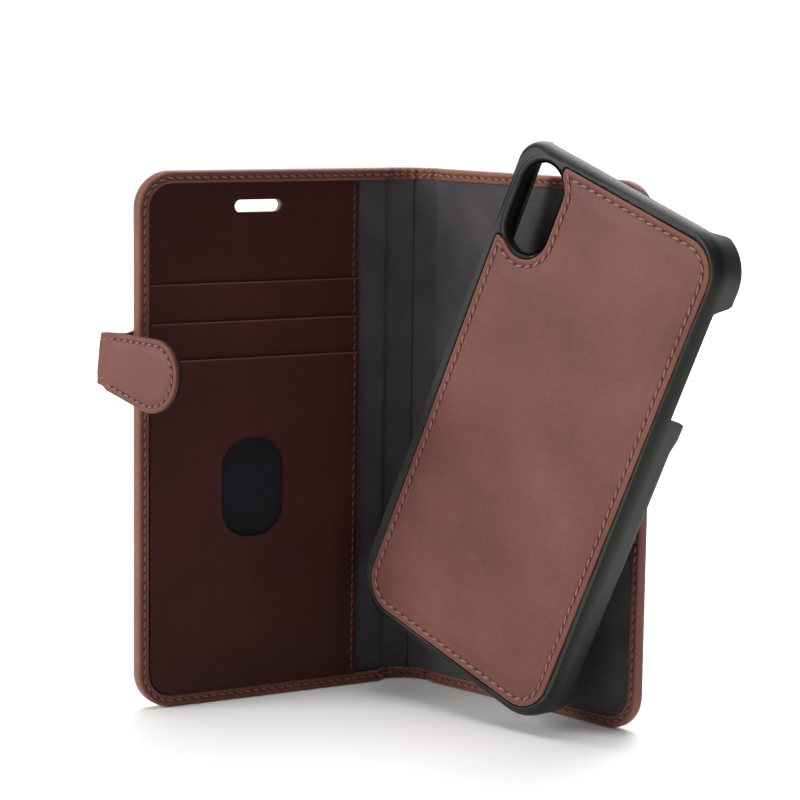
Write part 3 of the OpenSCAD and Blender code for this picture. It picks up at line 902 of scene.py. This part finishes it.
hemPath = openHem(hemLine)
coverPart = hemPath[hemPath[:, 0] > 0.6]
frontHem = stitches("frontHemStitches", coverPart, placeFront,
                    lambda p: frontInner(p) - 0.2, thread, side=1)
backHem = stitches("backHemStitches", coverPart, placeBack,
                   lambda p: backInner(p) - 0.2, thread, side=1, slant=-13)
spineSeams = []
for label, place in (("Front", placeFront), ("Back", placeBack)):
    for end, height in (("Foot", hemLine), ("Top", wallet["height"] - hemLine)):
        path = np.stack([np.linspace(0.2, spineEnd, 40), np.full(40, height)], 1)
        spineSeams.append(stitches("spine" + label + end + "Stitches", path, place,
                                   lambda p: backInner(p) - 0.2 + ruffle(p), thread, side=1))
seamX = pockets["start"] + 1.5
seamEnds = wallet["hem"] + 1, wallet["height"] - wallet["hem"] - 1
pocketSeam = np.stack([np.full(80, seamX), np.linspace(*seamEnds, 80)], 1)


def stackTop(plan):
    # the face of the pockets: one layer more below each mouth
    layers = 1.0 + sum(plan[:, 1] < pockets[mouth] for mouth in ("upper", "middle", "front"))
    return pockets["base"] + pockets["layer"] * layers


pocketStitches = stitches("pocketStitches", pocketSeam, placeFront, stackTop, darkThread, side=1)
strapSewing = dict(pitch=2.4, length=1.8, side=1)
strapTop = strap["thick"] / 2
tabPath = shrink(tabLoop(), strapSeam)
tabPath = openEnd(tabPath[tabPath[:, 0] > bridgeMiddle + 1.8])
tabStitches = stitches("tabStitches", tabPath, placeStrap, strapTop - 0.1, thread, **strapSewing)
basePath = shrink(rearLoop(), strapSeam)
basePath = openEnd(basePath[basePath[:, 0] < strap["base"] - 3])
baseStitches = stitches("baseStitches", basePath, placeStrap, strapTop - 0.1, thread, **strapSewing)
bridgeSeam = strap["width"] / 2 - 1.6
bridgeStitches = []
for label, level in (("Upper", bridgeSeam), ("Lower", -bridgeSeam)):
    path = np.stack([np.linspace(rootStart - 6, bridgeMiddle + 1, 30), np.full(30, level)], 1)
    bridgeStitches.append(stitches("bridge" + label + "Stitches", path, placeStrap, strapTop - 0.1,
                                   thread, **strapSewing))
sewn = shrink(leatherEdge, 2.0)
sewn = sewn[distanceTo(sewn, leatherEdge) > 1.93]
shellStitches = stitches("shellStitches", sewn, placeShell, 0.02, thread, closed=True, pitch=3.0,
                         length=2.6, width=0.8, height=0.6, side=-1, slant=12)
print("sewing made")

# needle holes: flat dark discs between the stitches, painted shade where the thread passes into the
# leather
holeShadeSize = dict(length=0.75, width=0.62, height=0.3, shift=0.5, slant=0)
frontHoleShade = stitches("frontHemHoleShade", coverPart, placeFront, lambda p: frontInner(p) - 0.3,
                      needleHoleShade, side=1, **holeShadeSize)
backHoleShade = stitches("backHemHoleShade", coverPart, placeBack, lambda p: backInner(p) - 0.3,
                     needleHoleShade, side=1, **holeShadeSize)
tabHoleShade = stitches("tabHoleShade", tabPath, placeStrap, strapTop - 0.02, needleHoleShade, side=1, pitch=2.4,
                    **holeShadeSize)
shellHoleShade = stitches("shellHoleShade", sewn, placeShell, 0.08, needleHoleShade, closed=True, pitch=3.0, side=-1,
                      **holeShadeSize)
print("needle holes made")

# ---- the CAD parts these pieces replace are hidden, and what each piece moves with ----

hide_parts("front_cover_leather", "spine_leather")
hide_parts("back_cover_leather", "spine_leather")
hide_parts("front_lining", "spine_lining")
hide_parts("back_lining", "spine_lining")
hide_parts("pocket_backing")
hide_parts("card_pocket_upper")
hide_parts("card_pocket_middle")
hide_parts("card_pocket_front")
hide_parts("pocket_lining")
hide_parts("clasp_base", "clasp_bridge")
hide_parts("clasp_tab", "clasp_bridge")
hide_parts("clasp_tab_lining")
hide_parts("shell_body")
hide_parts("shell_leather")
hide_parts("shell_lining")

foldReach = 3.5


def stripPoint(place, along):
    # half-way up the wallet, just inside its outer face
    return tuple(place(np.array([[along, 76.0]]), np.array([1.0]))[0])


for place, cover, shared in ((placeFront, "front_cover", (frontLeather, frontLining)),
                             (placeBack, "back_cover", (backLeather, backLining))):
    start, end = stripPoint(place, foldReach), stripPoint(place, -foldReach)
    for piece in shared:
        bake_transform(piece)


def bendLine(at, reach):
    # across a bend: from a point before it on the strap to one after it
    ends = placeStrap(np.array([[at - reach, 0.0], [at + reach, 0.0]]), np.zeros(2))
    return tuple(ends[0]), tuple(ends[1])


start, end = bendLine((rootStart + rootEnd) / 2, 2.0)
for piece in [claspRear] + bridgeStitches:
    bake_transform(piece)
start, end = bendLine(tabFold, 1.4)
for piece in (claspTab, tabStitches, tabHoleShade):
    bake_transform(piece)
for piece in (pocketBacking, pocketUpper, pocketMid, pocketFront, pocketLining, frontHem, frontHoleShade,
              pocketStitches, baseStitches):
    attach(piece, "front_cover")
for piece in (backHem, backHoleShade):
    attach(piece, "back_cover")
for piece in spineSeams:
    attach(piece, "spine")
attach(claspLining, "clasp_tab")
for piece in (shellBodyPiece, shellLeatherPiece, shellLining, shellStitches, shellHoleShade):
    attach(piece, "phone_shell")
print("pieces ride on their bodies")

# ---- floor, light and camera ----

studio = dict(floor="#fafaf9", back=1.1, front=0.2, lens=115.1, eye=(0.09507, -0.74099, 0.18861),
              yaw=-7.582, pitch=8.008, roll=0.829)


def makeStage():
    size = 2.4  # half the floor's side, in metres
    corners = [(-size, -size, 0), (size, -size, 0), (size, size, 0), (-size, size, 0)]
    mesh = bpy.data.meshes.new("floor")
    mesh.from_pydata(corners, [], [(0, 1, 2, 3)])
    floor = bpy.data.objects.new("floor", mesh)
    bpy.context.scene.collection.objects.link(floor)
    material, _, shader = startMaterial("paleFloor", {"Roughness": 0.7})
    shader.inputs["Base Color"].default_value = linear(studio["floor"])
    mesh.materials.append(material)
    world = bpy.data.worlds.new("studio")
    world.use_nodes = True
    tree = world.node_tree
    ray = addNode(tree, "ShaderNodeTexCoord").outputs["Generated"]
    parts = addNode(tree, "ShaderNodeSeparateXYZ", None, {"Vector": ray})
    fade = addNode(tree, "ShaderNodeMapRange", {"From Min": 0.45, "From Max": 0.9,
                                                "To Min": studio["front"], "To Max": studio["back"]},
                   {"Value": parts.outputs["Y"]})
    backdrop = tree.nodes["Background"]
    backdrop.inputs["Color"].default_value = (1, 1, 1, 1)
    tree.links.new(fade.outputs[0], backdrop.inputs["Strength"])
    bpy.context.scene.world = world


def makeLight(name, place, target, size, power):
    data = bpy.data.lights.new(name, "AREA")
    data.size = size
    data.energy = power
    lamp = bpy.data.objects.new(name, data)
    lamp.location = place
    lamp.rotation_mode = "QUATERNION"
    lamp.rotation_quaternion = (Vector(target) - Vector(place)).to_track_quat("-Z", "Y")
    bpy.context.scene.collection.objects.link(lamp)


def makeCamera():
    yaw, pitch, roll = (math.radians(studio[k]) for k in ("yaw", "pitch", "roll"))
    ahead = Vector((math.sin(yaw) * math.cos(pitch), math.cos(yaw) * math.cos(pitch), -math.sin(pitch)))
    right = Vector((math.cos(yaw), -math.sin(yaw), 0))
    up = right.cross(ahead)
    across = right * math.cos(roll) + up * math.sin(roll)
    above = up * math.cos(roll) - right * math.sin(roll)
    turn = Matrix((across, above, -ahead)).transposed().to_4x4()
    data = bpy.data.cameras.new("camera")
    data.lens = studio["lens"]
    data.sensor_width = 36
    camera = bpy.data.objects.new("camera", data)
    camera.matrix_world = Matrix.Translation(studio["eye"]) @ turn
    bpy.context.scene.collection.objects.link(camera)
    bpy.context.scene.camera = camera


bpy.context.scene.view_settings.view_transform = "Standard"
makeStage()
makeLight("key", (-2.2, -1.07, 0.92), (0.03, 0, 0.08), 1.1, 58)
makeLight("top", (-0.05, 0.1, 1.3), (0, 0.05, 0.05), 1.0, 14)
makeLight("far", (0.2, 1.5, 1.3), (0.1, 1.7, 0), 1.4, 40)
makeCamera()
print("studio made")
